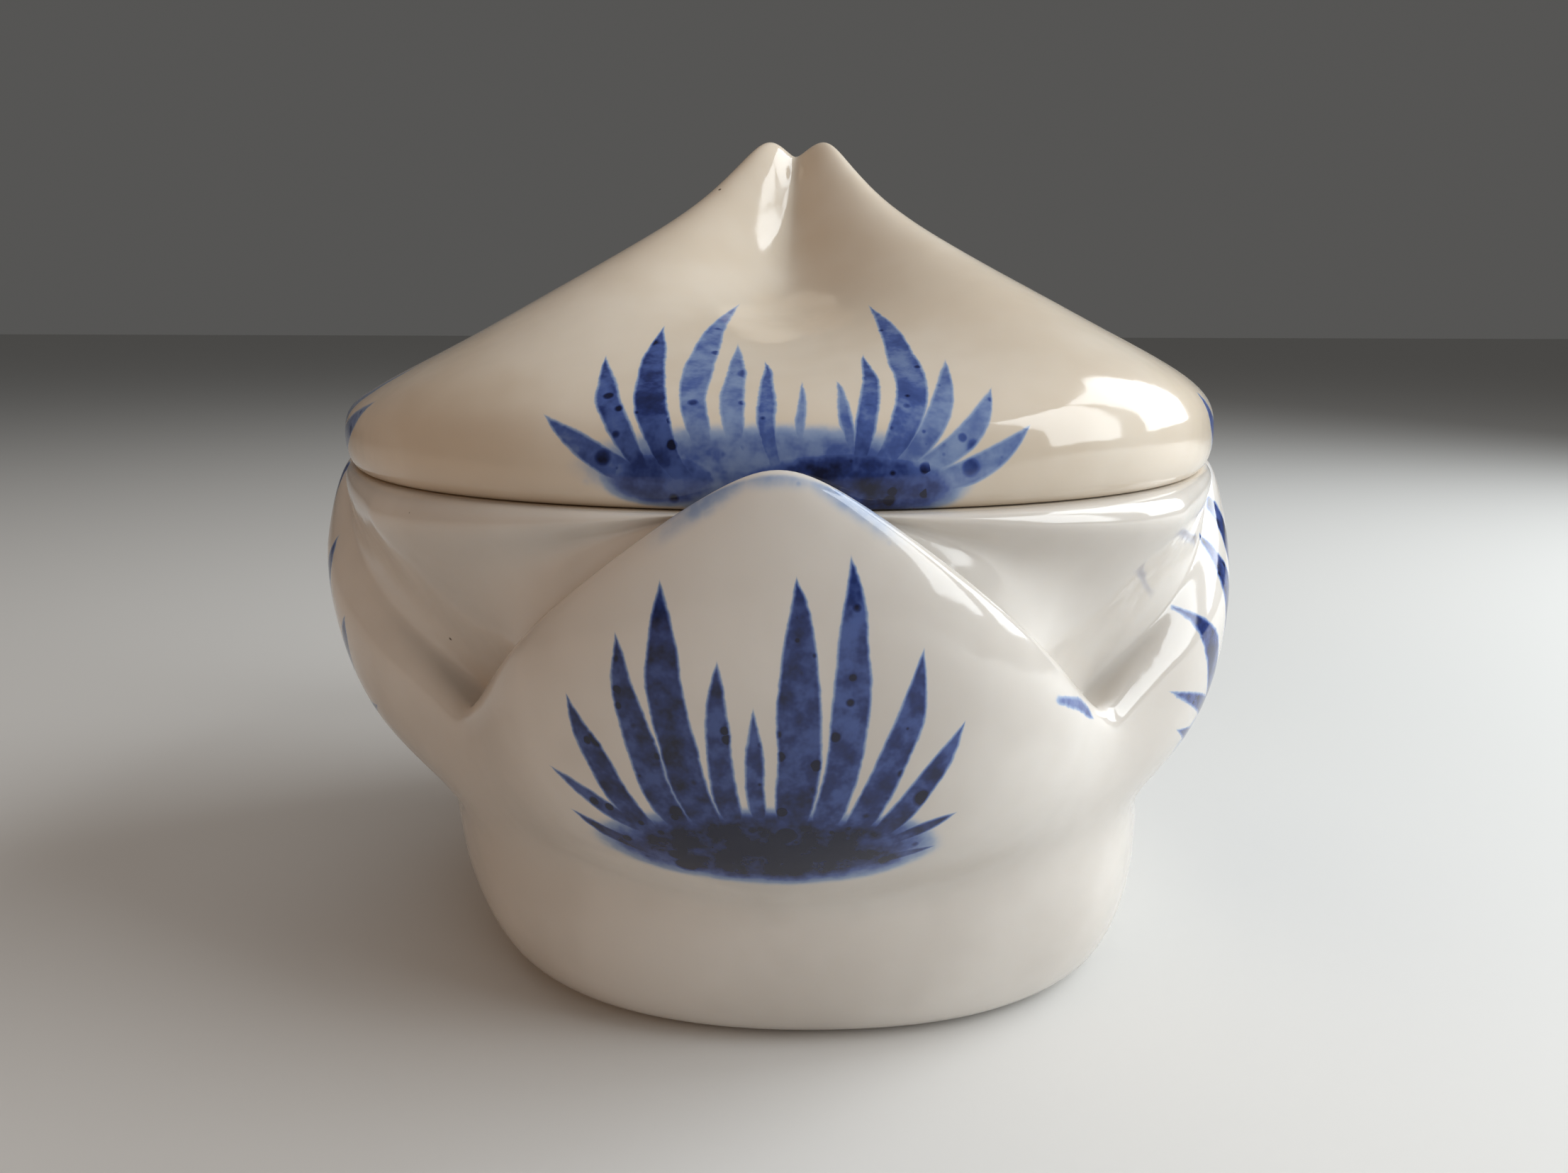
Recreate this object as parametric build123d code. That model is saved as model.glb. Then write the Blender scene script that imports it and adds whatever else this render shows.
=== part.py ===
"""Porcelain trinket box: a bowl wrapped by four folded petals, and a lift-off lid with four ridges.

Frame: millimetres, +Z up, z = 0 is the plane the foot stands on, the front petal faces -Y.
Both pieces repeat four times round Z, except that the two side petals stand lower than the front
and back ones. A ring is one closed level line of a surface, given by its (radius, height) on a
petal's centre line and at the corner between two petals; a soft wave joins the two, and a skin
through a stack of rings makes each surface. The box is made by hand, so its foot and its peak
stand a little to the right of the rim.
"""
from build123d import *
from math import acos, cos, pi, sin
import os

POINTS_PER_RING = 32

# Levels and widths the two pieces share
SEAM_Z = 56.7          # top of the bowl's rim, where the lid rests
SEAT_GAP = 0.05        # space between the rim and the lid
TIP_Z = 60.7           # top of the front and back petals
SIDE_RISE = 0.1        # share of that rise above the rim left on the side petals
MOUTH_FACE = 46.4      # radius of the mouth below a petal's tip
MOUTH_CORNER = 47.4    # radius of the mouth at a corner
FLANGE_PLAY = 0.7      # space all round the lid's locating flange
FLANGE_DEPTH = 5.0

# Hand-made lean towards the right petal, below and above the straight middle
FOOT_LEAN = 3.4
PEAK_LEAN = 1.9
LEAN_BELOW = 47.0
LEAN_ABOVE = 57.0
PEAK_Z = 91.9

# How a ring turns: fullness of the radius, then the sharpness of the radius on a centre line and
# at a corner, then the same two for the height. Fullness 1 is a plain wave, more fills the petal
# out towards the corners; sharpness 0.1 is a round turn, 0.98 almost a fold.
SOFT = (1.0, 0.3, 0.3, 0.3, 0.3)
PETAL_FOOT = (2.0, 0.3, 0.3, 0.5, 0.5)
PETAL = (2.2, 0.5, 0.3, 0.7, 0.85)
PETAL_EDGE = (2.4, 0.4, 0.5, 0.93, 0.985)
LEDGE = (3.1, 0.4, 0.5, 0.93, 0.985)
POCKET = (4.2, 0.4, 0.5, 0.7, 0.985)
RECESS = (3.6, 0.4, 0.5, 0.6, 0.9)
WALL = (2.4, 0.45, 0.5, 0.6, 0.8)
RIM = (0.5, 0.5, 0.5, 0.6, 0.7)
INSIDE = (2.4, 0.4, 0.5, 0.3, 0.3)
CROWN = (1.3, 0.3, 0.6, 0.3, 0.6)
VALLEY = (0.8, 0.5, 0.6, 0.5, 0.6)


def wave(angle, at_face, at_corner):
    """1 on each petal's centre line, 0 at each corner, with the given sharpness at both."""
    reach = (at_face + at_corner) / 2
    lean = (at_face - at_corner) / 2
    top = acos(-at_face)
    bottom = acos(at_corner)
    return (acos(-(reach * cos(4 * angle) + lean)) - bottom) / (top - bottom)


def lean(height):
    """Sideways shift of the piece's axis at a height."""
    if height < LEAN_BELOW:
        return FOOT_LEAN * min(1.0, (LEAN_BELOW - height) / LEAN_BELOW) ** 1.2
    if height > LEAN_ABOVE:
        return PEAK_LEAN * ((height - LEAN_ABOVE) / (PEAK_Z - LEAN_ABOVE)) ** 1.3
    return 0.0


def ring(face, corner, turn=SOFT, side_rise=1.0):
    """Closed spline through (radius, height) `face` and `corner`, repeated four times.

    Of what rises above the seam, the two side faces keep only the share `side_rise`.
    """
    fullness, *sharpness = turn
    points = []
    for i in range(POINTS_PER_RING):
        angle = 2 * pi * i / POINTS_PER_RING
        share = 1 - max(0.0, 1 - wave(angle, *sharpness[:2])) ** fullness
        radius = corner[0] + (face[0] - corner[0]) * share
        height = corner[1] + (face[1] - corner[1]) * wave(angle, *sharpness[2:])
        if height > SEAM_Z:
            height -= (height - SEAM_Z) * (1 - side_rise) * sin(angle) ** 2
        points.append(Vector(lean(height) + radius * sin(angle), -radius * cos(angle), height))
    return Wire([Edge.make_spline(points, periodic=True)])


def skin(rings, straight=False, side_rise=1.0):
    """Solid through the rings, curved or in straight strips; the first and last close it flat."""
    return Solid.make_loft([ring(*level, side_rise=side_rise) for level in rings], ruled=straight)


def between(a, b, c, d, t):
    """Value a share t of the way from b to c, on a smooth curve that also heeds a and d."""
    bend = (2 * a - 5 * b + 4 * c - d) * t * t + (3 * b - a - 3 * c + d) * t * t * t
    return b + ((c - a) * t + bend) / 2


def folded_skin(rings, side_rise=1.0):
    """Solid through rings that turn back on themselves, in short straight strips."""
    flat = [(*face, *corner, *turn) for face, corner, turn in rings]
    flat = [flat[0]] + flat + [flat[-1]]
    levels = []
    for i in range(1, len(flat) - 2):
        for t in (0.0, 0.5):
            mixed = [between(*four, t) for four in zip(*flat[i - 1:i + 3])]
            levels.append((mixed[0:2], mixed[2:4], mixed[4:9]))
    levels.append(rings[-1])
    return skin(levels, straight=True, side_rise=side_rise)


# ---------------------------------------------------------------- bowl with petals
# From the foot up the outside of a petal and over its edge, then down to the ledge in the pocket
# and up the recessed wall to the rim. Behind a tip that wall is only a few millimetres high, so
# its rings lie close together there.
outside = folded_skin([
    ((35.2, 0.0), (37.0, 0.0), SOFT),
    ((38.0, 1.4), (40.2, 1.4), SOFT),
    ((39.8, 4.2), (42.0, 4.2), SOFT),
    ((41.2, 8.4), (43.4, 8.4), SOFT),
    ((41.9, 12.6), (44.0, 13.4), SOFT),
    ((42.0, 15.6), (44.0, 17.6), SOFT),
    ((43.0, 18.2), (44.6, 20.6), PETAL_FOOT),
    ((46.2, 21.6), (45.6, 23.4), PETAL_FOOT),
    ((49.6, 26.8), (46.5, 26.2), PETAL),
    ((52.0, 33.2), (47.0, 28.8), PETAL),
    ((53.3, 40.6), (47.1, 31.0), PETAL),
    ((53.6, 48.0), (46.9, 32.4), PETAL_EDGE),
    ((53.1, 54.6), (46.6, 33.3), PETAL_EDGE),
    ((52.5, 58.6), (46.1, 33.9), PETAL_EDGE),
    ((51.8, 60.3), (45.5, 34.2), PETAL_EDGE),
    ((51.0, TIP_Z), (44.8, 34.2), PETAL_EDGE),
    ((50.4, 60.0), (43.8, 33.9), LEDGE),
    ((50.1, 58.9), (42.7, 33.8), POCKET),
    ((49.9, 58.2), (42.0, 34.2), POCKET),
    ((49.8, 57.8), (42.3, 36.4), POCKET),
    ((49.7, 57.5), (44.2, 41.0), RECESS),
    ((49.5, 57.25), (47.0, 46.0), WALL),
    ((49.3, 57.05), (49.8, 50.2), RIM),
    ((49.2, 56.95), (51.6, 52.8), RIM),
    ((49.1, 56.87), (52.2, 54.4), RIM),
    ((49.0, 56.8), (51.7, 55.8), RIM),
    ((48.9, 56.74), (50.8, 56.5), RIM),
    ((48.7, SEAM_Z), (49.6, SEAM_Z), SOFT),
], side_rise=SIDE_RISE)

# The room inside, from the floor up through the mouth and past the rim.
hollow = folded_skin([
    ((28.0, 5.0), (28.6, 5.0), SOFT),
    ((33.8, 7.0), (35.4, 7.0), SOFT),
    ((37.2, 12.5), (39.4, 12.5), SOFT),
    ((38.0, 19.0), (38.8, 19.0), SOFT),
    ((40.4, 25.0), (37.4, 25.0), SOFT),
    ((43.8, 32.0), (37.4, 32.0), INSIDE),
    ((46.4, 38.5), (39.8, 38.5), INSIDE),
    ((47.4, 45.0), (43.4, 45.0), INSIDE),
    ((47.2, 49.4), (46.4, 49.4), SOFT),
    ((MOUTH_FACE, 52.6), (MOUTH_CORNER, 52.6), SOFT),
    ((MOUTH_FACE, SEAM_Z), (MOUTH_CORNER, SEAM_Z), SOFT),
    ((MOUTH_FACE, SEAM_Z + 5.0), (MOUTH_CORNER, SEAM_Z + 5.0), SOFT),
])

# A shallow dish under the foot leaves a narrow ring to stand on.
foot_recess = skin([
    ((31.4, -1.0), (33.0, -1.0)),
    ((30.6, 0.4), (32.2, 0.4)),
    ((29.4, 1.4), (31.0, 1.4)),
])

box_body = outside - hollow - foot_recess

# ---------------------------------------------------------------- lid
LID_Z = SEAM_Z + SEAT_GAP

# From the seat up the short belt and over the belly, then up the valleys and ridges to the peaks.
lid_outside = skin([
    ((47.8, LID_Z), (49.2, LID_Z)),
    ((48.9, LID_Z + 0.9), (50.2, LID_Z + 0.9)),
    ((49.3, 60.2), (50.8, 60.6)),
    ((49.0, 62.6), (50.7, 63.4)),
    ((47.4, 64.6), (49.4, 66.2), CROWN),
    ((43.6, 66.5), (46.0, 68.8), CROWN),
    ((37.0, 68.9), (39.8, 72.0), CROWN),
    ((29.6, 71.3), (32.0, 75.8), CROWN),
    ((22.4, 73.4), (24.2, 79.6), CROWN),
    ((16.0, 76.4), (17.8, 82.8), VALLEY),
    ((10.6, 80.4), (12.4, 86.2), VALLEY),
    ((6.6, 84.8), (8.2, 89.4), VALLEY),
    ((4.0, 88.4), (5.6, 91.5), VALLEY),
    ((2.6, 90.2), (3.9, PEAK_Z)),
    ((1.2, 90.4), (1.6, 90.4)),
])

# The room under the roof follows the outside and starts below the flange, to open it downwards.
lid_hollow = skin([
    ((43.0, 50.0), (43.8, 50.0)),
    ((43.0, LID_Z), (43.8, LID_Z)),
    ((43.4, 59.4), (44.4, 60.0)),
    ((41.6, 61.8), (43.0, 63.6)),
    ((36.0, 64.4), (38.0, 67.4)),
    ((28.6, 66.8), (30.6, 71.2)),
    ((21.4, 69.0), (23.0, 74.8)),
    ((14.6, 71.6), (16.2, 78.2)),
    ((8.0, 75.8), (9.2, 81.4)),
    ((3.0, 80.6), (3.0, 80.6)),
])

# The locating flange hangs inside the bowl's mouth and narrows a little at its lower edge.
flange_face = MOUTH_FACE - FLANGE_PLAY
flange_corner = MOUTH_CORNER - FLANGE_PLAY
flange = skin([
    ((flange_face - 0.6, SEAM_Z - FLANGE_DEPTH), (flange_corner - 0.6, SEAM_Z - FLANGE_DEPTH)),
    ((flange_face, SEAM_Z - FLANGE_DEPTH + 1.2), (flange_corner, SEAM_Z - FLANGE_DEPTH + 1.2)),
    ((flange_face, LID_Z + 1.0), (flange_corner, LID_Z + 1.0)),
], straight=True)

lid = lid_outside + flange - lid_hollow

# ---------------------------------------------------------------- one file for each piece
os.makedirs("parts", exist_ok=True)
for name, shape in (("box_body", box_body), ("lid", lid)):
    export_step(shape, "parts/" + name + ".step")
    box = shape.bounding_box()
    print(name, "volume", round(shape.volume), "size", box.size, "solids", len(shape.solids()))
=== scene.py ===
"""Looks of the porcelain trinket box: a bowl wrapped by four folded petals, and its lift-off lid.

Each piece is one closed skin. Its section changes with the angle round the box: a level gives a
(radius, height) on a petal's centre line and another at the corner between two petals, and a soft
wave joins them. Levels are in millimetres, as in the CAD model. The painting is made of brush
strokes laid down by shader nodes in the pieces' own coordinates: one tuft, folded onto all four
faces, wavering differently on each and larger on the two side faces.
"""

from math import acos, pi, radians

import bpy
import numpy as np
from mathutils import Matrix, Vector, noise


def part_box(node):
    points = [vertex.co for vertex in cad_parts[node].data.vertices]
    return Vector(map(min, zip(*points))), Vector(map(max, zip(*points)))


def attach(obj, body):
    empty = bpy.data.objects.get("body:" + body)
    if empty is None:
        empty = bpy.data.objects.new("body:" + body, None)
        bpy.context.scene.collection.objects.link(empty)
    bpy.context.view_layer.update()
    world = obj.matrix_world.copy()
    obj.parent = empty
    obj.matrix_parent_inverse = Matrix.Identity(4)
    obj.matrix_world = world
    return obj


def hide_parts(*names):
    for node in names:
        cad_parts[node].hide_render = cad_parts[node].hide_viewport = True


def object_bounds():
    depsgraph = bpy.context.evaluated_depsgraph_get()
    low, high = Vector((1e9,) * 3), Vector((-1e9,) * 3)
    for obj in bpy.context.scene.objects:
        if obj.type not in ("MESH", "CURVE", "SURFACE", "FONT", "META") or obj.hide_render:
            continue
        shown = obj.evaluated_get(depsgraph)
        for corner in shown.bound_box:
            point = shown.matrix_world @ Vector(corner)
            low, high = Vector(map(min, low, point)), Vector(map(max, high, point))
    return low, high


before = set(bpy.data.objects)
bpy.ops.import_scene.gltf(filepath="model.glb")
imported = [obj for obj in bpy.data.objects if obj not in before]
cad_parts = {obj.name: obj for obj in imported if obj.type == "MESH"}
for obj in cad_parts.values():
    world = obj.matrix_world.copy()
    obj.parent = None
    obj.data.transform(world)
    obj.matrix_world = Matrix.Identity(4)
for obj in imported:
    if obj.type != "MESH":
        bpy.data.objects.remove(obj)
cad_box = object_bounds()

MM = 0.001
ANGLES = 480            # points round each level
SMOOTHING = 3           # passes that round every fold like a coat of glaze
MELTING = 60            # more passes, on the side petals' edges only
UNEVENNESS = 0.45       # how far the hand-pressed walls swell and sink

# Heights in millimetres; the seam's is worked out from the frame
FLANGE_DEPTH = 5.0
SEAM_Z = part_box("lid")[0][2] / MM + FLANGE_DEPTH
SEAT_GAP = 0.05
LID_Z = SEAM_Z + SEAT_GAP
PEAK_Z = 91.9
TIP_Z = 60.7
SIDE_RISE = 0.1         # share of the tips' rise above the seam left on the two side petals

# Hand-made lean towards the right petal, as in the CAD model
FOOT_LEAN = 3.4
PEAK_LEAN = 1.9
LEAN_BELOW = 47.0
LEAN_ABOVE = 57.0

# Turns: fullness of the radius, sharpness of the radius on a centre line and at a corner, then
# the same two for the height
SOFT = (1.0, 0.3, 0.3, 0.3, 0.3)
PETAL_FOOT = (2.0, 0.3, 0.3, 0.5, 0.5)
PETAL = (2.2, 0.5, 0.3, 0.7, 0.85)
PETAL_EDGE = (2.4, 0.4, 0.5, 0.93, 0.985)
LEDGE = (3.1, 0.4, 0.5, 0.93, 0.985)
POCKET = (4.2, 0.4, 0.5, 0.7, 0.985)
RECESS = (3.6, 0.4, 0.5, 0.6, 0.9)
WALL = (2.4, 0.45, 0.5, 0.6, 0.8)
RIM = (0.5, 0.5, 0.5, 0.6, 0.7)
INSIDE = (2.4, 0.4, 0.5, 0.3, 0.3)
CROWN = (1.3, 0.3, 0.6, 0.3, 0.6)
VALLEY = (0.8, 0.5, 0.6, 0.5, 0.6)
FOLD_TURNS = (PETAL_EDGE, LEDGE, POCKET, RECESS, WALL, RIM)     # over a petal's edge to the rim


# ---------------------------------------------------------------- shape tools
def wave(angle, at_face, at_corner):
    """1 on each petal's centre line, 0 at each corner, with the given sharpness at both."""
    reach = (at_face + at_corner) / 2
    tilt = (at_face - at_corner) / 2
    top = acos(-at_face)
    bottom = acos(at_corner)
    return (np.arccos(-(reach * np.cos(4 * angle) + tilt)) - bottom) / (top - bottom)


def between(a, b, c, d, t):
    """Value a share t of the way from b to c, on a smooth curve that also heeds a and d."""
    bend = (2 * a - 5 * b + 4 * c - d) * t * t + (3 * b - a - 3 * c + d) * t ** 3
    return b + ((c - a) * t + bend) / 2


def stack(levels, steps, side_rise):
    """Radii and heights of a skin through the levels: two arrays, level by angle."""
    flat = []
    for face, corner, *turn in levels:
        flat.append(np.array([*face, *corner, *(turn[0] if turn else SOFT)]))
    flat = [flat[0]] + flat + [flat[-1]]
    dense = []
    for i in range(1, len(flat) - 2):
        dense += [between(*flat[i - 1:i + 3], step / steps) for step in range(steps)]
    dense.append(flat[-1])
    angle = 2 * pi * np.arange(ANGLES) / ANGLES
    radii, heights = [], []
    for row in dense:
        share = 1 - np.clip(1 - wave(angle, row[5], row[6]), 0, 1) ** row[4]
        radii.append(row[2] + (row[0] - row[2]) * share)
        heights.append(row[3] + (row[1] - row[3]) * wave(angle, row[7], row[8]))
    heights = np.array(heights)
    heights -= np.maximum(heights - SEAM_Z, 0) * (1 - side_rise) * np.sin(angle) ** 2
    return np.array(radii), heights


def smooth(grid):
    """Relaxes the inner levels of a (level, angle) grid towards their neighbours."""
    for _ in range(SMOOTHING):
        near = (np.roll(grid, 1, 1) + np.roll(grid, -1, 1)) / 2
        along = (grid[:-2] + grid[2:]) / 2
        grid[1:-1] = 0.4 * grid[1:-1] + 0.2 * near[1:-1] + 0.4 * along
    return grid


def melt(grid, first, last):
    """Runs the side petals' edges into the wall behind them, between two rows of the grid."""
    angle = 2 * pi * np.arange(ANGLES) / ANGLES
    side = np.clip((np.abs(np.sin(angle)) - 0.74) / 0.16, 0, 1)
    rows = np.arange(len(grid) - 2)
    inside = np.clip(np.minimum(rows - first, last - rows) / 6, 0, 1)
    share = 0.8 * inside[:, None] * side[None, :]
    for _ in range(MELTING):
        grid[1:-1] += share * ((grid[:-2] + grid[2:]) / 2 - grid[1:-1])
    return grid


def lean(height):
    """Sideways shift of the axis at each height."""
    low = np.clip((LEAN_BELOW - height) / LEAN_BELOW, 0, 1) ** 1.2
    high = np.clip((height - LEAN_ABOVE) / (PEAK_Z - LEAN_ABOVE), 0, 2) ** 1.3
    return FOOT_LEAN * low + PEAK_LEAN * high


def hand_pressed(x, y, z, seed):
    """Slow unevenness of a hand-pressed wall, in millimetres; none at the seam and the foot."""
    place = Vector((x, y, z)) * 0.028 + Vector((seed, 0, 0))
    finer = Vector((x, y, z)) * 0.085 + Vector((0, seed, 0))
    uneven = UNEVENNESS * (noise.noise(place) + 0.28 * noise.noise(finer))
    off_the_seam = min(1.0, max(0.0, abs(z - SEAM_Z) - 1.0) / 4)
    off_the_foot = max(0.0, min(1.0, z / 3))
    return uneven * off_the_seam * off_the_foot


def mesh_piece(name, points, faces, material):
    """Smooth-shaded object from points in millimetres."""
    mesh = bpy.data.meshes.new(name)
    mesh.from_pydata([Vector(point) * MM for point in points], [], faces)
    mesh.update()
    mesh.polygons.foreach_set("use_smooth", [True] * len(faces))
    mesh.materials.append(material)
    piece = bpy.data.objects.new(name, mesh)
    bpy.context.collection.objects.link(piece)
    return piece


def closed_faces(rows, count):
    """Quads between `rows` rings of `count` points, and a fan to the points added at each end."""
    ends = rows * count
    last = (rows - 1) * count
    faces = []
    for i in range(rows - 1):
        for j in range(count):
            k = (j + 1) % count
            faces.append((i * count + j, i * count + k, (i + 1) * count + k, (i + 1) * count + j))
    for j in range(count):
        k = (j + 1) % count
        faces.append((ends, k, j))
        faces.append((ends + 1, last + j, last + k))
    return faces


def skin(name, levels, steps, material, side_rise=1.0, melted=None, sag=None, seed=1.0):
    """Closed piece through the levels; the first and the last are points on the axis."""
    radii, heights = stack(levels, steps, side_rise)
    if melted:
        radii = melt(radii, *[steps * level for level in melted])
        heights = melt(heights, *[steps * level for level in melted])
    radii = smooth(radii)
    heights = smooth(heights)
    rows = len(radii)
    points = []
    for i in range(1, rows - 1):
        for j in range(ANGLES):
            angle = 2 * pi * j / ANGLES
            radius = radii[i, j]
            height = heights[i, j]
            x = radius * np.sin(angle)
            y = -radius * np.cos(angle)
            push = hand_pressed(x, y, height, seed) * min(1.0, radius / 8)
            scale = (radius + push) / radius
            drop = sag(x, height) if sag else 0.0
            points.append((x * scale + lean(height), y * scale, height - drop))
    for i in (0, rows - 1):
        height = heights[i].mean()
        points.append((lean(height), 0.0, height))
    return mesh_piece(name, points, closed_faces(rows - 2, ANGLES), material)


# ---------------------------------------------------------------- the bowl and its petals
# From the axis under the foot, up the outside of a petal and over its edge, down to the ledge in
# the pocket, up the recessed wall, over the rim and down the inside to the axis. Behind a tip that
# wall is only a few millimetres high, so its levels lie close together there.
BOWL_SKIN = [
    ((0.0, 1.4), (0.0, 1.4)),
    ((14.0, 1.4), (14.0, 1.4)),
    ((28.6, 1.4), (30.0, 1.4)),
    ((30.6, 1.0), (32.2, 1.0)),
    ((31.6, 0.1), (33.2, 0.1)),
    ((33.0, 0.0), (34.8, 0.0)),
    ((35.6, 0.1), (37.4, 0.1)),
    ((38.0, 1.4), (40.2, 1.4)),
    ((39.8, 4.2), (42.0, 4.2)),
    ((41.2, 8.4), (43.4, 8.4)),
    ((41.9, 12.6), (44.0, 13.4)),
    ((42.0, 15.6), (44.0, 17.6)),
    ((43.0, 18.2), (44.6, 20.6), PETAL_FOOT),
    ((46.2, 21.6), (45.6, 23.4), PETAL_FOOT),
    ((49.6, 26.8), (46.5, 26.2), PETAL),
    ((52.0, 33.2), (47.0, 28.8), PETAL),
    ((53.3, 40.6), (47.1, 31.0), PETAL),
    ((53.6, 48.0), (46.9, 32.4), PETAL_EDGE),
    ((53.1, 54.6), (46.6, 33.3), PETAL_EDGE),
    ((52.5, 58.6), (46.1, 33.9), PETAL_EDGE),
    ((51.8, 60.3), (45.5, 34.2), PETAL_EDGE),
    ((51.0, TIP_Z), (44.8, 34.2), PETAL_EDGE),
    ((50.4, 60.0), (43.8, 33.9), LEDGE),
    ((50.1, 58.9), (42.7, 33.8), POCKET),
    ((49.9, 58.2), (42.0, 34.2), POCKET),
    ((49.8, 57.8), (42.3, 36.4), POCKET),
    ((49.7, 57.5), (44.2, 41.0), RECESS),
    ((49.5, 57.25), (47.0, 46.0), WALL),
    ((49.3, 57.05), (49.8, 50.2), RIM),
    ((49.2, 56.95), (51.6, 52.8), RIM),
    ((49.1, 56.87), (52.2, 54.4), RIM),
    ((49.0, 56.8), (51.7, 55.8), RIM),
    ((48.9, 56.74), (50.8, 56.5), RIM),
    ((48.7, SEAM_Z), (49.6, SEAM_Z)),
    ((47.6, SEAM_Z), (48.5, SEAM_Z)),
    ((46.9, 56.55), (47.8, 56.55)),
    ((46.45, 56.0), (47.4, 56.0)),
    ((46.4, 54.6), (47.4, 54.6)),
    ((46.5, 52.2), (47.3, 52.2)),
    ((47.2, 48.6), (45.8, 48.6)),
    ((47.4, 44.0), (43.0, 44.0), INSIDE),
    ((46.4, 38.5), (39.8, 38.5), INSIDE),
    ((43.8, 32.0), (37.4, 32.0), INSIDE),
    ((40.4, 25.0), (37.4, 25.0)),
    ((38.0, 19.0), (38.8, 19.0)),
    ((37.2, 12.5), (39.4, 12.5)),
    ((34.6, 7.8), (36.2, 7.8)),
    ((29.0, 5.5), (30.0, 5.5)),
    ((18.0, 5.0), (18.0, 5.0)),
    ((6.0, 4.9), (6.0, 4.9)),
    ((0.0, 4.9), (0.0, 4.9)),
]

fold_levels = [i for i, level in enumerate(BOWL_SKIN) if level[2:] and level[2] in FOLD_TURNS]
PETAL_EDGE_LEVELS = (fold_levels[0], fold_levels[-1])


# ---------------------------------------------------------------- the lid
# From the axis under the roof, down the hollow, round the flange, over the seat and up the
# outside to the notched peak
LID_SKIN = [
    ((0.0, 80.8), (0.0, 80.8)),
    ((3.0, 80.0), (3.0, 81.0)),
    ((8.0, 75.8), (9.2, 81.4)),
    ((14.6, 71.6), (16.2, 78.2)),
    ((21.4, 69.0), (23.0, 74.8)),
    ((28.6, 66.8), (30.6, 71.2)),
    ((36.0, 64.4), (38.0, 67.4)),
    ((41.6, 61.8), (43.0, 63.6)),
    ((43.4, 59.4), (44.4, 60.0)),
    ((43.0, 56.0), (43.8, 56.0)),
    ((43.1, 52.8), (43.9, 52.8)),
    ((43.5, 51.95), (44.3, 51.95)),
    ((44.3, 51.7), (45.2, 51.7)),
    ((45.0, 51.95), (46.0, 51.95)),
    ((45.5, 52.8), (46.5, 52.8)),
    ((45.7, 54.4), (46.7, 54.4)),
    ((45.7, 56.0), (46.7, 56.0)),
    ((45.9, LID_Z - 0.2), (46.9, LID_Z - 0.2)),
    ((46.4, LID_Z), (47.4, LID_Z)),
    ((47.9, LID_Z), (49.2, LID_Z)),
    ((48.6, 57.1), (49.9, 57.1)),
    ((49.1, 57.9), (50.4, 57.9)),
    ((49.3, 59.2), (50.8, 59.2)),
    ((49.2, 61.0), (50.9, 61.4)),
    ((48.6, 63.2), (50.4, 64.1)),
    ((46.6, 65.1), (48.8, 66.7), CROWN),
    ((42.6, 66.9), (45.2, 69.2), CROWN),
    ((36.6, 69.0), (39.6, 72.1), CROWN),
    ((29.6, 71.2), (32.0, 75.8), CROWN),
    ((22.4, 72.8), (24.2, 79.5), CROWN),
    ((16.4, 75.0), (18.2, 82.5), VALLEY),
    ((11.4, 78.6), (13.4, 85.4), VALLEY),
    ((7.8, 82.6), (9.8, 88.2), VALLEY),
    ((5.4, 86.4), (7.0, 90.6), VALLEY),
    ((3.9, 88.5), (5.3, 91.7), VALLEY),
    ((2.9, 90.0), (3.9, PEAK_Z)),
    ((2.0, 90.5), (2.6, 91.3)),
    ((0.9, 90.35), (1.1, 90.45)),
    ((0.0, 90.3), (0.0, 90.3)),
]


def left_sag(x, z):
    """How far the lid's left shoulder slumped in the kiln, in millimetres."""
    deepest = 1.3
    shoulder_x = -38.0
    reach = 17.0
    height_share = min(1.0, max(0.0, (z - 60.0) / 6))
    return deepest * height_share * np.exp(-((x - shoulder_x) / reach) ** 2)


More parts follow.
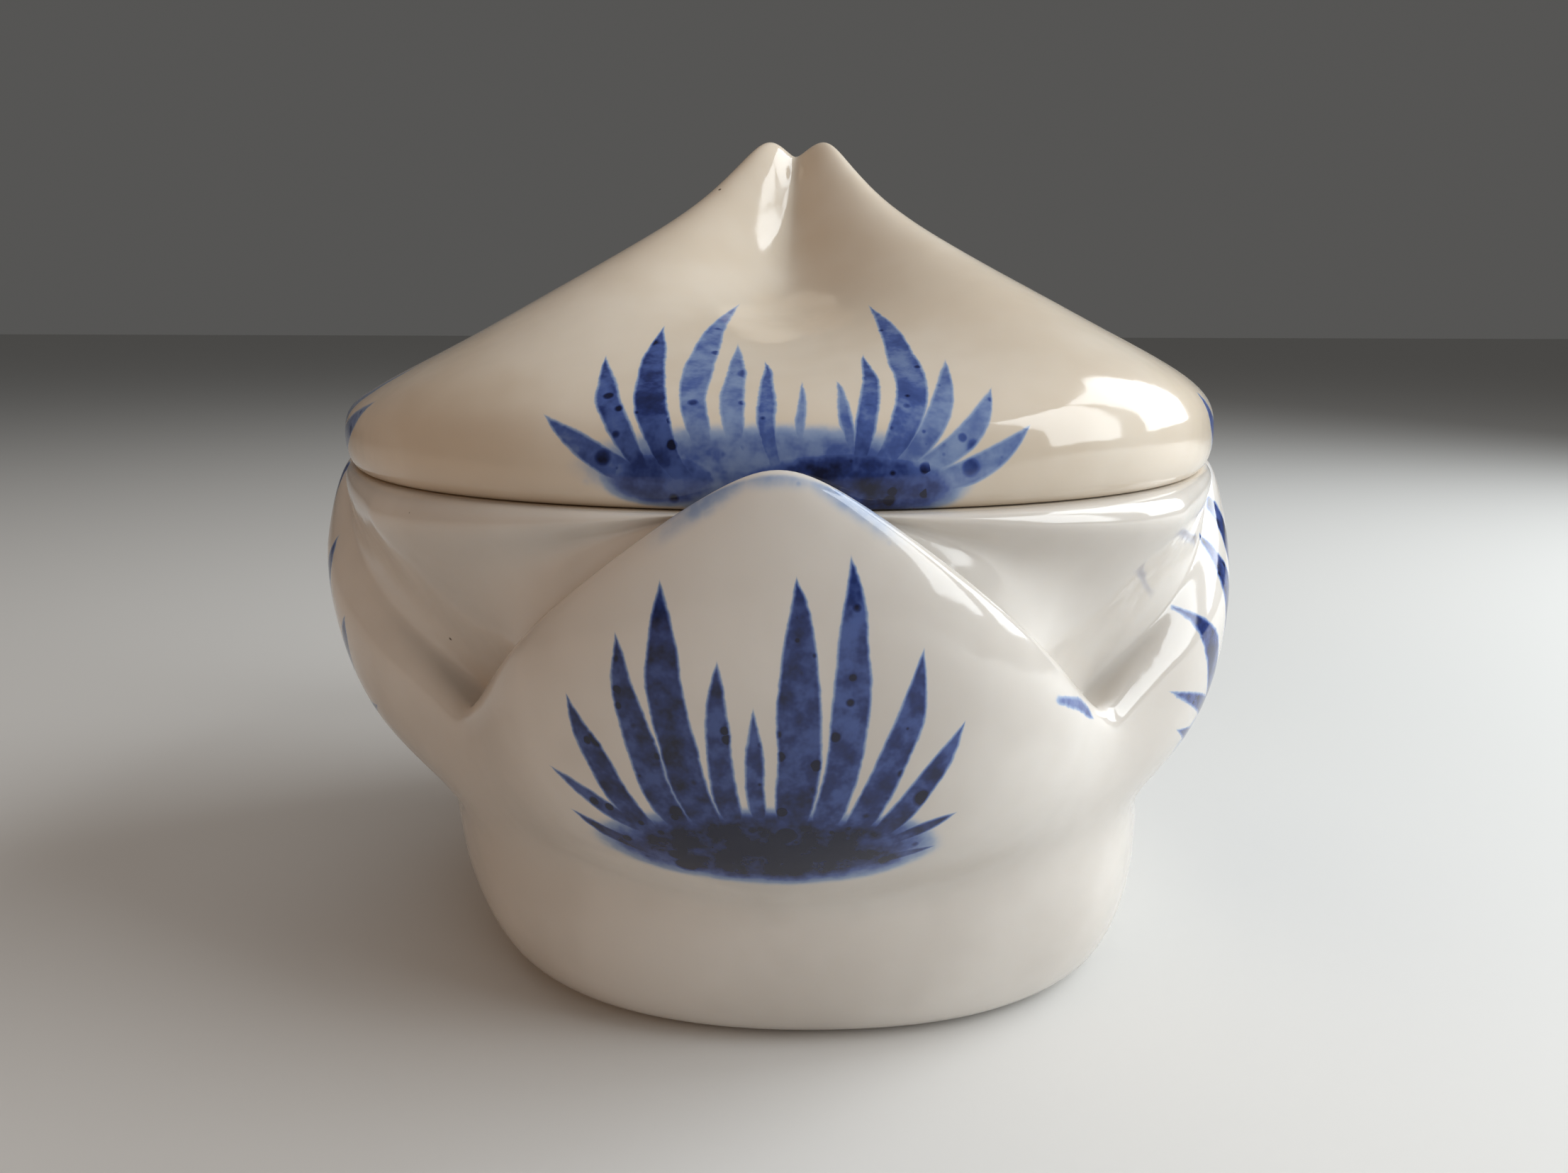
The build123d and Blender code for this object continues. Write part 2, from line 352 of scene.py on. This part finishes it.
# ---------------------------------------------------------------- materials
class Recipe:
    """Builds one material's nodes from short expressions."""

    def __init__(self, name):
        self.material = bpy.data.materials.new(name)
        self.material.use_nodes = True
        self.nodes = self.material.node_tree.nodes
        self.links = self.material.node_tree.links
        self.nodes.clear()

    def put(self, socket, value):
        """Links a node's output to a socket, or sets the socket to a plain value."""
        if isinstance(value, bpy.types.NodeSocket):
            self.links.new(value, socket)
        else:
            socket.default_value = value

    def math(self, operation, *values):
        node = self.nodes.new("ShaderNodeMath")
        node.operation = operation
        for socket, value in zip(node.inputs, values):
            self.put(socket, value)
        return node.outputs[0]

    def dot(self, vector, weights):
        node = self.nodes.new("ShaderNodeVectorMath")
        node.operation = "DOT_PRODUCT"
        self.put(node.inputs[0], vector)
        self.put(node.inputs[1], weights)
        return node.outputs["Value"]

    def ramp(self, value, low, high, start=0.0, end=1.0):
        """Smooth step of value between low and high."""
        node = self.nodes.new("ShaderNodeMapRange")
        node.interpolation_type = "SMOOTHSTEP"
        for socket, number in zip(node.inputs, (value, low, high, start, end)):
            self.put(socket, number)
        return node.outputs[0]

    def mix(self, share, first, second):
        node = self.nodes.new("ShaderNodeMix")
        node.data_type = "RGBA"
        self.put(node.inputs["Factor"], share)
        self.put(node.inputs[6], first)      # the colour sockets come after the plain numbers'
        self.put(node.inputs[7], second)
        return node.outputs[2]

    def strongest(self, marks):
        """The strongest of several marks at each place."""
        total = marks[0]
        for mark in marks[1:]:
            total = self.math("MAXIMUM", total, mark)
        return total

    def noise(self, place, size, detail=2.0, roughness=0.5):
        """Noise whose features are about `size` millimetres wide."""
        node = self.nodes.new("ShaderNodeTexNoise")
        self.put(node.inputs["Vector"], place)
        node.inputs["Scale"].default_value = 1 / (size * MM)
        node.inputs["Detail"].default_value = detail
        node.inputs["Roughness"].default_value = roughness
        return node.outputs["Fac"]

    def dots(self, place, spacing, radius, chance):
        """Round soft dots, in millimetres, in a random share of the cells."""
        node = self.nodes.new("ShaderNodeTexVoronoi")
        self.put(node.inputs["Vector"], place)
        node.inputs["Scale"].default_value = 1 / (spacing * MM)
        split = self.nodes.new("ShaderNodeSeparateColor")
        self.links.new(node.outputs["Color"], split.inputs[0])
        reach = self.math("MULTIPLY", split.outputs[1], radius / spacing)
        core = self.math("SUBTRACT", reach, node.outputs["Distance"])
        dot = self.ramp(core, -0.15 * radius / spacing, 0.35 * radius / spacing)
        chosen = self.math("LESS_THAN", split.outputs[0], chance)
        return self.math("MULTIPLY", dot, chosen)


def blade(recipe, spot, base, tip, bow, width, ink):
    """One tapering brush stroke from base to tip, bowed to its left by `bow` at the middle."""
    across = Vector((tip[0] - base[0], tip[1] - base[1]))
    length = across.length
    ahead = across / length
    along = recipe.dot(spot, (ahead.x / length, ahead.y / length, -ahead.dot(base) / length))
    aside = recipe.dot(spot, (-ahead.y, ahead.x, ahead.y * base[0] - ahead.x * base[1]))
    held = recipe.math("MAXIMUM", along, 0.0)
    rest = recipe.math("SUBTRACT", 1.0, held)
    bulge = recipe.math("MULTIPLY", held, rest)
    off = recipe.math("ABSOLUTE", recipe.math("MULTIPLY_ADD", bulge, -4 * bow, aside))
    blunt = recipe.math("SUBTRACT", 1.0, recipe.math("POWER", held, 4.0))
    taper = recipe.math("MULTIPLY", recipe.math("MULTIPLY_ADD", held, 0.5, 0.65), blunt)
    inside = recipe.math("MULTIPLY_ADD", taper, width / 2, recipe.math("MULTIPLY", off, -1.0))
    stroke = recipe.ramp(inside, -0.12, 0.42, 0.0, ink)
    return recipe.math("MULTIPLY", stroke, recipe.ramp(along, -1.2 / length, 0.4 / length))


def pool(recipe, spot, centre, size, ink):
    """A soft oval of colour where the strokes meet."""
    x = recipe.dot(spot, (1 / size[0], 0, -centre[0] / size[0]))
    z = recipe.dot(spot, (0, 1 / size[1], -centre[1] / size[1]))
    square = recipe.math("MULTIPLY_ADD", x, x, recipe.math("MULTIPLY", z, z))
    return recipe.ramp(square, 1.25, 0.3, 0.0, ink)


# Brush strokes as (base, tip, bow, width, ink), and pools as (centre, half size, ink). Places are
# (sideways, height) in millimetres on the front face, from the leftmost blade of a tuft to the
# rightmost. A tuft grows larger on the side faces from its foot, the height it springs from.
LID_TUFT_FOOT = 58.6
LID_STROKES = [
    ((-7.0, 58.6), (-19.8, 64.6), 1.4, 3.0, 0.66),
    ((-10.5, 59.5), (-15.4, 69.2), 0.9, 2.7, 0.74),
    ((-7.5, 59.5), (-10.6, 71.8), 1.9, 3.5, 0.80),
    ((-4.5, 60.0), (-4.1, 73.8), 2.9, 3.4, 0.52),
    ((-2.5, 60.0), (-3.8, 70.2), 0.5, 2.6, 0.50),
    ((0.2, 60.0), (-1.4, 68.6), 0.2, 2.1, 0.66),
    ((2.2, 60.5), (1.9, 67.1), 0.0, 1.4, 0.50),
    ((6.4, 60.5), (4.7, 67.1), -0.3, 1.6, 0.54),
    ((6.6, 60.0), (7.8, 69.4), -0.3, 2.4, 0.66),
    ((8.0, 60.0), (8.8, 73.8), -2.9, 3.6, 0.60),
    ((9.5, 60.0), (14.9, 69.0), -1.0, 2.7, 0.50),
    ((10.0, 59.8), (18.5, 66.8), -1.3, 2.8, 0.46),
    ((8.0, 58.8), (21.7, 63.9), -1.7, 3.0, 0.50),
]
LID_POOLS = [
    ((-0.5, 60.3), (16.8, 3.9), 0.56),
    ((-9.5, 59.5), (6.0, 2.5), 0.74),
    ((5.5, 58.9), (10.5, 3.4), 0.88),
]
PETAL_TUFT_FOOT = 26.2
PETAL_STROKES = [
    ((-7.0, 26.2), (-20.4, 33.6), 0.4, 2.1, 0.84),
    ((-4.0, 23.8), (-18.8, 29.1), 0.7, 2.2, 0.86),
    ((-8.5, 25.5), (-17.8, 41.4), 1.4, 3.0, 0.84),
    ((-6.5, 25.5), (-13.5, 47.2), 1.4, 3.4, 0.86),
    ((-4.0, 25.0), (-9.6, 51.8), 1.8, 4.3, 0.90),
    ((-2.7, 25.5), (-4.9, 45.4), 0.8, 2.9, 0.84),
    ((-1.2, 25.5), (-1.9, 41.4), 0.2, 2.1, 0.78),
    ((1.0, 25.0), (1.6, 52.4), -0.5, 4.5, 0.84),
    ((3.0, 25.0), (5.9, 54.0), -1.4, 4.0, 0.78),
    ((4.5, 25.2), (12.1, 46.2), -1.2, 3.4, 0.78),
    ((5.5, 25.2), (15.7, 39.2), -0.9, 2.8, 0.82),
    ((4.0, 25.3), (16.2, 30.3), -0.2, 1.9, 0.86),
    ((3.0, 24.0), (14.4, 26.3), 0.0, 1.8, 0.86),
]
PETAL_POOLS = [
    ((-1.0, 26.8), (15.4, 4.9), 0.98),
    ((0.2, 27.2), (10.5, 3.8), 1.10),
]
PETAL_ACCENT = ((25.6, 38.6), (31.0, 34.6), 0.4, 1.4, 0.66)     # lone stroke on the front petal

# How the painting and the glaze look: colours as red, green, blue, alpha
BODY_WHITE = (0.655, 0.612, 0.562, 1)
BODY_SHADE = (0.58, 0.535, 0.485, 1)
LID_WHITE = (0.66, 0.582, 0.485, 1)
LID_SHADE = (0.60, 0.51, 0.405, 1)
COBALT = (                                  # (strength of the ink, colour)
    (0.1, (0.38, 0.44, 0.54, 1)),
    (0.4, (0.19, 0.26, 0.43, 1)),
    (0.6, (0.06, 0.10, 0.29, 1)),
    (0.8, (0.018, 0.034, 0.14, 1)),
    (1.0, (0.005, 0.007, 0.028, 1)),
)
IRON = (0.05, 0.028, 0.012, 1)
DARK_CLAY = (0.50, 0.42, 0.33, 1)
PALE_CLAY = (0.66, 0.59, 0.49, 1)
WAVER = 1.4                                 # how far the brush wanders, in millimetres
FRAYING = 0.22                              # how ragged a stroke's edge is, in millimetres
SIDE_NARROWING = 0.27                       # how much larger the side tufts are painted, across
SIDE_LOWERING = 0.12                        # and upwards


def face_place(recipe):
    """Object coordinates, and on the nearest of four faces: sideways and height in millimetres."""
    place = recipe.nodes.new("ShaderNodeTexCoord").outputs["Object"]
    split = recipe.nodes.new("ShaderNodeSeparateXYZ")
    recipe.links.new(place, split.inputs[0])
    x, y, z = split.outputs
    back = recipe.math("MULTIPLY", y, -1.0)
    angle = recipe.math("ARCTAN2", x, back)
    turns = recipe.math("ROUND", recipe.math("DIVIDE", angle, pi / 2))
    folded = recipe.math("MULTIPLY_ADD", turns, -pi / 2, angle)
    square = recipe.math("ADD", recipe.math("MULTIPLY", x, x), recipe.math("MULTIPLY", y, y))
    radius = recipe.math("DIVIDE", recipe.math("SQRT", square), MM)
    sideways = recipe.math("MULTIPLY", recipe.math("SINE", folded), radius)
    return place, sideways, recipe.math("DIVIDE", z, MM), radius, turns


def brushed_place(recipe, place, s, z, turns, foot_z):
    """(sideways, height, 1) as the wavering brush sees it, spread out on the two side faces."""
    shift = recipe.nodes.new("ShaderNodeCombineXYZ")
    recipe.put(shift.inputs[2], turns)
    moved = recipe.nodes.new("ShaderNodeVectorMath")
    moved.operation = "ADD"
    recipe.put(moved.inputs[0], place)
    recipe.put(moved.inputs[1], shift.outputs[0])
    slow = recipe.noise(moved.outputs[0], 9.0, 1.0)
    quick = recipe.noise(place, 0.8, 2.0)
    waver = recipe.math("MULTIPLY", recipe.math("SUBTRACT", slow, 0.5), WAVER)
    frayed = recipe.math("MULTIPLY_ADD", recipe.math("SUBTRACT", quick, 0.5), FRAYING, waver)

    side = recipe.math("COMPARE", recipe.math("ABSOLUTE", turns), 1.0, 0.5)
    narrowed = recipe.math("MULTIPLY", s, recipe.math("MULTIPLY_ADD", side, -SIDE_NARROWING, 1.0))
    lowered = recipe.math("MULTIPLY", recipe.math("SUBTRACT", z, foot_z), -SIDE_LOWERING)
    height = recipe.math("MULTIPLY_ADD", lowered, side, z)
    brush = recipe.nodes.new("ShaderNodeCombineXYZ")
    recipe.put(brush.inputs[0], recipe.math("ADD", narrowed, frayed))
    recipe.put(brush.inputs[1], recipe.math("MULTIPLY_ADD", frayed, 0.5, height))
    brush.inputs[2].default_value = 1.0
    return brush.outputs[0]


def cobalt_wash(recipe, place, ink):
    """Strength and colour of the ink: it gathers in clouds and dark grains, and thins to grey."""
    cloud = recipe.noise(place, 2.6, 3.0, 0.6)
    clouded = recipe.math("MULTIPLY", ink, recipe.ramp(cloud, 0.3, 0.72, 0.78, 1.16))
    fine = recipe.dots(place, 1.5, 0.6, 0.4)
    coarse = recipe.dots(place, 3.1, 1.1, 0.35)
    grains = recipe.math("MULTIPLY", recipe.math("MAXIMUM", fine, coarse), ink)
    strength = recipe.math("MULTIPLY_ADD", grains, 0.5, clouded)
    wash = recipe.nodes.new("ShaderNodeValToRGB")
    recipe.put(wash.inputs[0], strength)
    stops = wash.color_ramp.elements
    stops[0].position, stops[0].color = COBALT[0]
    stops[1].position, stops[1].color = COBALT[-1]
    for position, color in COBALT[1:-1]:
        stops.new(position).color = color
    return strength, wash.outputs[0]


def glaze(name, white, shade, marks_at, painted, bare):
    """Glossy glaze over porcelain: cobalt where `painted` allows it, matt clay where `bare` says."""
    recipe = Recipe(name)
    place, s, z, radius, turns = face_place(recipe)
    marks = marks_at(recipe, place, s, z, radius, turns)
    ink = recipe.math("MULTIPLY", recipe.strongest(marks), painted(recipe, z, radius))
    strength, cobalt = cobalt_wash(recipe, place, ink)

    # Cloudy white, cobalt, iron specks, and clay where no glaze is
    cloudy = recipe.ramp(recipe.noise(place, 22.0, 3.0, 0.55), 0.35, 0.65)
    color = recipe.mix(recipe.ramp(strength, 0.02, 0.30), recipe.mix(cloudy, white, shade), cobalt)
    specks = recipe.dots(place, 7.0, 0.26, 0.3)
    color = recipe.mix(recipe.math("MULTIPLY", specks, 0.85), color, IRON)
    bare_here = bare(recipe, z, radius)
    grit = recipe.noise(place, 0.35, 3.0, 0.7)
    color = recipe.mix(bare_here, color, recipe.mix(grit, DARK_CLAY, PALE_CLAY))

    # Orange peel in the glaze, pinholes, and thin relief where the colour lies thick
    peel = recipe.noise(place, 1.6, 2.0, 0.45)
    swell = recipe.noise(place, 7.0, 2.0, 0.5)
    relief = recipe.math("MULTIPLY_ADD", swell, 3.0, recipe.math("MULTIPLY", peel, 0.35))
    relief = recipe.math("MULTIPLY_ADD", specks, -0.8, relief)
    relief = recipe.math("MULTIPLY_ADD", strength, 0.12, relief)
    relief = recipe.math("MULTIPLY_ADD", recipe.math("MULTIPLY", grit, bare_here), 0.6, relief)
    bump = recipe.nodes.new("ShaderNodeBump")
    bump.inputs["Strength"].default_value = 0.35
    bump.inputs["Distance"].default_value = 0.1 * MM
    recipe.put(bump.inputs["Height"], relief)

    shader = recipe.nodes.new("ShaderNodeBsdfPrincipled")
    gloss = recipe.ramp(recipe.noise(place, 6.0, 4.0, 0.6), 0.3, 0.75, 0.07, 0.14)
    matt = recipe.math("MULTIPLY", bare_here, 0.75)
    recipe.put(shader.inputs["Base Color"], color)
    recipe.put(shader.inputs["Roughness"], recipe.math("MAXIMUM", gloss, matt))
    recipe.put(shader.inputs["Normal"], bump.outputs[0])
    shader.inputs["IOR"].default_value = 1.5
    shader.inputs["Subsurface Weight"].default_value = 0.12
    shader.inputs["Subsurface Radius"].default_value = (1.0, 0.75, 0.5)
    shader.inputs["Subsurface Scale"].default_value = 1.5 * MM
    output = recipe.nodes.new("ShaderNodeOutputMaterial")
    recipe.put(output.inputs[0], shader.outputs[0])
    return recipe.material


def outside_of_bowl(recipe, z, radius):
    """1 on the outside of the bowl, 0 on the inside, whose radius is always a few mm less."""
    return recipe.ramp(recipe.math("MULTIPLY_ADD", z, -0.2, radius), 39.3, 39.9)


def outside_of_lid(recipe, z, radius):
    """1 on the lid's edge and on top of its roof, 0 under the roof and on the flange."""
    roof = recipe.math("SUBTRACT", recipe.math("MULTIPLY_ADD", radius, 0.35, z), 79.0)
    edge = recipe.math("SUBTRACT", radius, 47.5)
    return recipe.ramp(recipe.math("MAXIMUM", roof, edge), -0.3, 0.3)


def bare_foot_and_seat(recipe, z, radius):
    """Unglazed clay on the foot ring's underside and on the rim where the lid sits."""
    foot = recipe.ramp(z, 0.45, 0.15)
    level = recipe.ramp(recipe.math("ABSOLUTE", recipe.math("SUBTRACT", z, SEAM_Z)), 0.22, 0.1)
    inner = recipe.ramp(radius, 50.0, 49.2)
    outer = recipe.ramp(radius, 46.6, 47.2)
    seat = recipe.math("MULTIPLY", level, recipe.math("MULTIPLY", inner, outer))
    return recipe.math("MAXIMUM", foot, seat)


def bare_seat(recipe, z, radius):
    """Unglazed clay on the lid's underside where it rests on the rim."""
    level = recipe.ramp(recipe.math("ABSOLUTE", recipe.math("SUBTRACT", z, LID_Z)), 0.22, 0.1)
    return recipe.math("MULTIPLY", level, recipe.ramp(radius, 48.6, 47.8))


def tip_tint(recipe, s, z, radius):
    """Pale cobalt wiped along the very edge of each petal's tip."""
    aside = recipe.math("MAXIMUM", recipe.math("SUBTRACT", recipe.math("ABSOLUTE", s), 2.5), 0.0)
    edge = recipe.math("MULTIPLY_ADD", aside, -0.72, TIP_Z + 0.2)
    near = recipe.ramp(recipe.math("SUBTRACT", edge, z), 2.6, 0.4)
    ends = recipe.ramp(recipe.math("ABSOLUTE", s), 13.0, 6.0)
    outer = recipe.math("MULTIPLY", recipe.ramp(radius, 50.0, 50.6), 0.28)
    return recipe.math("MULTIPLY", recipe.math("MULTIPLY", near, ends), outer)


def petal_marks(recipe, place, s, z, radius, turns):
    """The tuft on every petal, the lone stroke on the front one and the tint along the tips."""
    spot = brushed_place(recipe, place, s, z, turns, PETAL_TUFT_FOOT)
    marks = [blade(recipe, spot, *stroke) for stroke in PETAL_STROKES]
    marks += [pool(recipe, spot, *oval) for oval in PETAL_POOLS]
    front = recipe.math("LESS_THAN", recipe.math("ABSOLUTE", turns), 0.5)
    marks.append(recipe.math("MULTIPLY", blade(recipe, spot, *PETAL_ACCENT), front))
    marks.append(tip_tint(recipe, s, z, radius))
    return marks


def lid_marks(recipe, place, s, z, radius, turns):
    """The tuft on every face of the lid."""
    spot = brushed_place(recipe, place, s, z, turns, LID_TUFT_FOOT)
    marks = [blade(recipe, spot, *stroke) for stroke in LID_STROKES]
    marks += [pool(recipe, spot, *oval) for oval in LID_POOLS]
    return marks


body_glaze = glaze("body_glaze", BODY_WHITE, BODY_SHADE, petal_marks, outside_of_bowl, bare_foot_and_seat)
lid_glaze = glaze("lid_glaze", LID_WHITE, LID_SHADE, lid_marks, outside_of_lid, bare_seat)


# ---------------------------------------------------------------- the two pieces in the frame
box_skin = skin("box_body_skin", BOWL_SKIN, 3, body_glaze, SIDE_RISE, PETAL_EDGE_LEVELS)
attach(box_skin, "bowl")
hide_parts("box_body")

lid_skin = skin("lid_skin", LID_SKIN, 4, lid_glaze, sag=left_sag, seed=7.0)
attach(lid_skin, "cover")
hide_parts("lid")


# ---------------------------------------------------------------- floor, light and camera
PALE_GREY = (0.66, 0.65, 0.63, 1)
DAYLIGHT = (0.92, 0.97, 1.0)
LAMPLIGHT = (1.0, 0.58, 0.30)
FRONT_LIGHT = (1.0, 0.98, 0.96)
TOP_LIGHT = (1.0, 0.97, 0.93)


def pale_floor():
    """A plain pale table top."""
    half = 4.0
    corners = [(-half, -half, 0), (half, -half, 0), (half, half, 0), (-half, half, 0)]
    mesh = bpy.data.meshes.new("floor")
    mesh.from_pydata(corners, [], [(0, 1, 2, 3)])
    floor = bpy.data.objects.new("floor", mesh)
    bpy.context.collection.objects.link(floor)
    recipe = Recipe("floor")
    shader = recipe.nodes.new("ShaderNodeBsdfPrincipled")
    shader.inputs["Base Color"].default_value = PALE_GREY
    shader.inputs["Roughness"].default_value = 0.6
    output = recipe.nodes.new("ShaderNodeOutputMaterial")
    recipe.links.new(shader.outputs[0], output.inputs[0])
    mesh.materials.append(recipe.material)


def soft_light(name, place, size, power, color, mirrored):
    """A large soft lamp aimed at the middle of the box; `mirrored` ones shine back off the glaze."""
    lamp = bpy.data.lights.new(name, "AREA")
    lamp.shape = "RECTANGLE"
    lamp.size, lamp.size_y = size
    lamp.energy = power
    lamp.color = color
    holder = bpy.data.objects.new(name, lamp)
    holder.location = place
    holder.visible_glossy = mirrored
    aim = Vector((0, 0, cad_box[1][2] / 2)) - Vector(place)
    holder.rotation_euler = aim.to_track_quat("-Z", "Y").to_euler()
    bpy.context.collection.objects.link(holder)


def studio():
    """A cool two-pane window on the right, warm room light on the left and a weak top light."""
    window_y = -0.03
    pane_spread = 0.165
    for side in (-1, 1):
        place = (0.47, window_y + pane_spread * side, 0.31)
        soft_light("pane", place, (0.27, 0.48), 2.6, DAYLIGHT, True)
    soft_light("front", (0.15, -0.55, 0.40), (0.5, 0.4), 0.35, FRONT_LIGHT, False)
    soft_light("room", (-0.45, -0.30, 0.22), (0.4, 0.3), 0.5, LAMPLIGHT, False)
    soft_light("top", (-0.05, 0.10, 0.6), (0.6, 0.6), 0.75, TOP_LIGHT, False)
    world = bpy.data.worlds.new("studio")
    world.use_nodes = True
    background = world.node_tree.nodes["Background"]
    background.inputs["Color"].default_value = PALE_GREY
    background.inputs["Strength"].default_value = 0.14
    bpy.context.scene.world = world


def camera():
    """Close phone view from above the rim, looking a little down at the front petal."""
    looking_down = 13.0
    roll = -0.17
    data = bpy.data.cameras.new("camera")
    data.sensor_width = 36.0
    data.lens = 27.0
    data.clip_start = 0.005
    holder = bpy.data.objects.new("camera", data)
    holder.location = (0.0005, -0.145, 0.0727)
    holder.rotation_euler = (radians(90 - looking_down), radians(roll), 0)
    bpy.context.collection.objects.link(holder)
    bpy.context.scene.camera = holder


pale_floor()
studio()
camera()
bpy.context.scene.view_settings.view_transform = "Standard"
